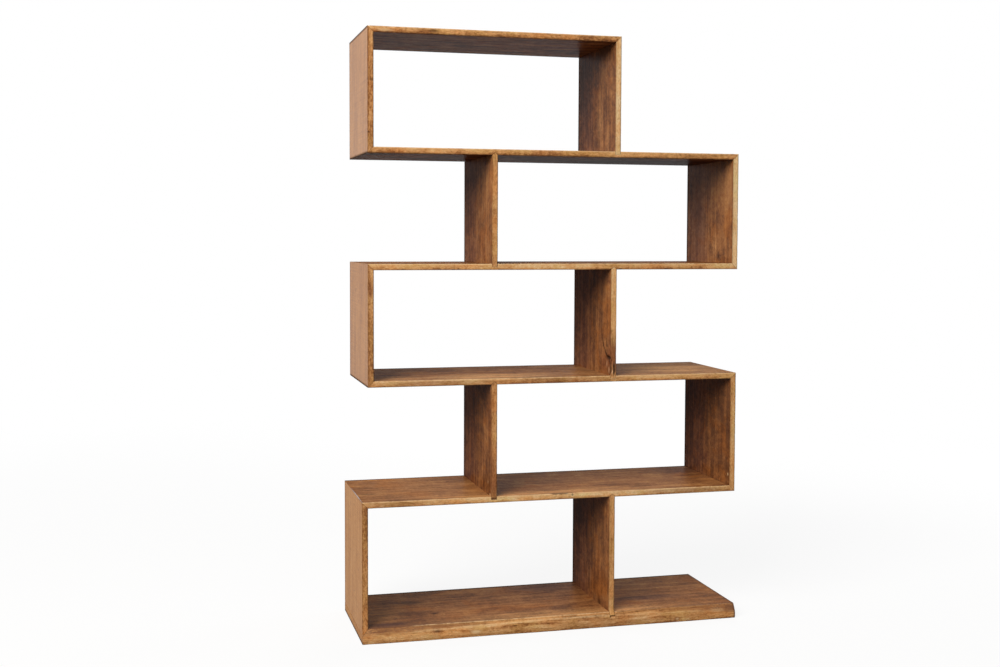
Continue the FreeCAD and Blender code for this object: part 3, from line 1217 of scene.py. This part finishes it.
def matt(graph, grey):
    return graph.fill("ShaderNodeBsdfDiffuse", {"Color": (grey, grey, grey, 1.0)})[0]


def glow(graph):
    return graph.fill("ShaderNodeEmission", {"Color": white, "Strength": 1.0})[0]


def floor_material():
    """Pale floor near the object, white further off. It sends little light back up."""
    graph = Graph(bpy.data.materials.new("pale_floor"))
    far = graph.fit(graph.vector("LENGTH", graph.place()), *floor_fade)
    near = graph.blend(floor_glow, matt(graph, floor_grey), glow(graph))
    pale = graph.blend(far, near, glow(graph))
    surface = graph.blend(seen_rays(graph), matt(graph, bounce_grey), pale)
    graph.fill("ShaderNodeOutputMaterial", {"Surface": surface})
    return graph.owner


def make_floor():
    mesh = bpy.data.meshes.new("floor")
    corners = [(sx * floor_half, sy * floor_half, 0.0) for sx, sy in ((-1, -1), (1, -1), (1, 1), (-1, 1))]
    mesh.from_pydata(corners, [], [(0, 1, 2, 3)])
    floor = bpy.data.objects.new("floor", mesh)
    bpy.context.scene.collection.objects.link(floor)
    mesh.materials.append(floor_material())


def make_world():
    """White background, which lights the object with a faint cool fill."""
    world = bpy.data.worlds.new("studio")
    bpy.context.scene.world = world
    graph = Graph(world)
    fill = graph.fill("ShaderNodeBackground", {"Color": sky_tint, "Strength": sky_strength})[0]
    shown = graph.fill("ShaderNodeBackground", {"Color": white, "Strength": 1.0})[0]
    graph.fill("ShaderNodeOutputWorld", {"Surface": graph.blend(seen_rays(graph), fill, shown)})


def soft_light(name, place, size, power, tint):
    """Square area light that faces the middle of the object."""
    lamp = bpy.data.lights.new(name, "AREA")
    lamp.shape = "SQUARE"
    lamp.size = size
    lamp.energy = power
    lamp.color = tint
    holder = bpy.data.objects.new(name, lamp)
    holder.location = place
    aim = Vector(lit_middle) - Vector(place)
    holder.rotation_euler = aim.to_track_quat("-Z", "Y").to_euler()
    bpy.context.scene.collection.objects.link(holder)


make_floor()
make_world()
for light in lights:
    soft_light(*light)


# Camera, as in the photograph

camera_place = (-1.1612, -3.9638, 1.1982)
camera_yaw = math.radians(14.591)
camera_pitch = math.radians(-2.941)
camera_roll = math.radians(0.204)
camera_lens = 47.447
camera_sensor = 36.0
camera_rise = -0.03


def make_camera():
    ahead = Vector((
        math.sin(camera_yaw) * math.cos(camera_pitch),
        math.cos(camera_yaw) * math.cos(camera_pitch),
        math.sin(camera_pitch),
    ))
    level = Vector((math.cos(camera_yaw), -math.sin(camera_yaw), 0.0))
    upward = level.cross(ahead)
    side = level * math.cos(camera_roll) + upward * math.sin(camera_roll)
    upward = upward * math.cos(camera_roll) - level * math.sin(camera_roll)
    lens = bpy.data.cameras.new("camera")
    lens.sensor_fit = "HORIZONTAL"
    lens.sensor_width = camera_sensor
    lens.lens = camera_lens
    lens.shift_y = camera_rise
    camera = bpy.data.objects.new("camera", lens)
    turn = Matrix((side, upward, -ahead)).transposed().to_4x4()
    camera.matrix_world = Matrix.Translation(camera_place) @ turn
    bpy.context.scene.collection.objects.link(camera)
    bpy.context.scene.camera = camera


make_camera()
bpy.context.scene.view_settings.view_transform = "Standard"
